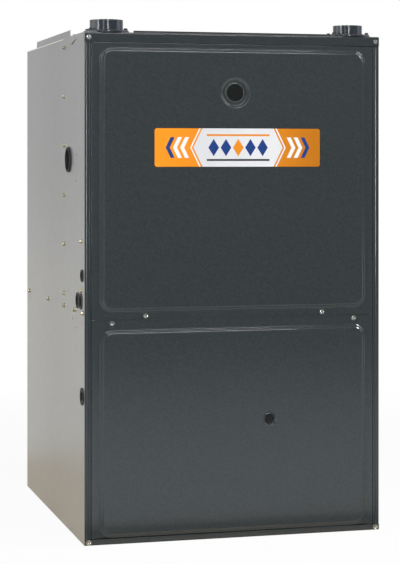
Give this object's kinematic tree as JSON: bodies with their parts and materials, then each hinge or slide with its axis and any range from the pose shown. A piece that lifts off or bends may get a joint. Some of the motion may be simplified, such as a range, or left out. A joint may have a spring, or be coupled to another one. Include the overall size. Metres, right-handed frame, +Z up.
{
  "type": "forced air gas furnace",
  "caption": "Upright sheet steel gas furnace with two lift-off doors, top pipe collars, supply duct flange, burners, heat exchanger and blower inside.",
  "frame": {"origin": "middle of the footprint, on the floor", "axes": "+Z up; the doors face -Y; +X is to the right of someone facing the doors"},
  "size_m": [0.6268, 0.6859, 1.0433],
  "materials": {
    "painted_steel": "fine textured dark grey powder coat",
    "galvanised_steel": "galvanised sheet, satin",
    "zinc_screw": "zinc plated",
    "black_plastic": "moulded, satin",
    "dark_lens": "smoked, gloss",
    "badge_print": "printed orange and silver",
    "rubber_seal": "matt",
    "foil_blanket": "foil faced blanket",
    "aluminised_steel": "aluminised, heat tinted",
    "coil_fins": "plain mill finish",
    "valve_casting": "die cast",
    "gas_pipe": "black steel pipe",
    "red_plastic": "moulded red",
    "ceramic_holder": "unglazed steatite",
    "motor_case": "baked enamel",
    "white_pipe": "plastic pipe",
    "circuit_board": "green board with black parts",
    "filter_media": "pleated media in a card frame",
    "wire_jacket": "woven sleeve"
  },
  "bodies": {
    "casing": {"side_panel_left": "galvanised_steel", "side_panel_right": "galvanised_steel", "back_panel": "galvanised_steel", "base_frame": "galvanised_steel", "supply_flange": "galvanised_steel", "top_cover": "galvanised_steel", "top_rail": "painted_steel", "base_rail": "painted_steel", "corner_posts": "painted_steel", "blower_deck": "galvanised_steel", "vestibule_panel": "galvanised_steel", "casing_screws": "zinc_screw", "corner_screws": "zinc_screw", "entry_grommets": "rubber_seal", "top_seals": "rubber_seal", "vent_collar": "black_plastic", "intake_collar": "black_plastic", "burner_box": "galvanised_steel", "burner_box_cover": "galvanised_steel", "burners": "galvanised_steel", "gas_manifold": "gas_pipe", "gas_valve": "valve_casting", "igniter": "ceramic_holder", "flame_sensor": "ceramic_holder", "safety_switches": "black_plastic", "heat_exchanger_tubes": "aluminised_steel", "rear_header": "aluminised_steel", "secondary_coil": "coil_fins", "collector_box": "black_plastic", "inducer_housing": "black_plastic", "inducer_motor": "motor_case", "vent_pipe": "white_pipe", "intake_pipe": "white_pipe", "pressure_switch": "black_plastic", "junction_box": "galvanised_steel", "control_panel": "galvanised_steel", "control_board": "circuit_board", "transformer": "motor_case", "door_switch": "black_plastic", "blower_housing": "galvanised_steel", "blower_motor": "motor_case", "motor_mount": "galvanised_steel", "air_filter": "filter_media", "condensate_trap": "black_plastic", "wiring": "wire_jacket"},
    "upper_door": {"upper_door": "painted_steel", "upper_door_insulation": "foil_blanket", "sight_glass": "dark_lens", "badge_plate": "badge_print", "upper_door_screws": "zinc_screw"},
    "lower_door": {"lower_door": "painted_steel", "lower_door_insulation": "foil_blanket", "status_window": "dark_lens", "lower_door_screws": "zinc_screw"},
    "blower_wheel": {"blower_wheel": "galvanised_steel"},
    "inducer_rotor": {"inducer_rotor": "black_plastic"},
    "gas_valve_knob": {"gas_valve_knob": "red_plastic"},
    "door_switch_plunger": {"door_switch_plunger": "red_plastic"},
    "reset_button_left": {"reset_button_left": "red_plastic"},
    "reset_button_right": {"reset_button_right": "red_plastic"}
  },
  "joints": [
    {"name": "upper_door_off", "type": "slide", "parent": "casing", "child": "upper_door", "axis": [0, -1, 0], "range_m": [0, 0.35]},
    {"name": "lower_door_off", "type": "slide", "parent": "casing", "child": "lower_door", "axis": [0, -1, 0], "range_m": [0, 0.35]},
    {"name": "blower_wheel_spin", "type": "hinge", "parent": "casing", "child": "blower_wheel", "pos_m": [0, 0.06275, 0.244], "axis": [1, 0, 0], "continuous": true},
    {"name": "inducer_spin", "type": "hinge", "parent": "casing", "child": "inducer_rotor", "pos_m": [-0.11, -0.25, 0.56], "axis": [0, 1, 0], "continuous": true},
    {"name": "gas_valve_knob_turn", "type": "hinge", "parent": "casing", "child": "gas_valve_knob", "pos_m": [0.105, -0.25925, 0.7647], "axis": [0, -1, 0], "range_deg": [0, 90]},
    {"name": "door_switch_press", "type": "slide", "parent": "casing", "child": "door_switch_plunger", "axis": [0, -1, 0], "range_m": [0, 0.005]},
    {"name": "reset_button_left_press", "type": "slide", "parent": "casing", "child": "reset_button_left", "axis": [0, 1, 0], "range_m": [0, 0.0025], "stiffness_N_per_m": 300},
    {"name": "reset_button_right_press", "type": "slide", "parent": "casing", "child": "reset_button_right", "axis": [0, 1, 0], "range_m": [0, 0.0025], "stiffness_N_per_m": 300}
  ],
  "couplings": [
    {"joint": "door_switch_press", "follows": "lower_door_off", "ratio": 0.01428}
  ]
}
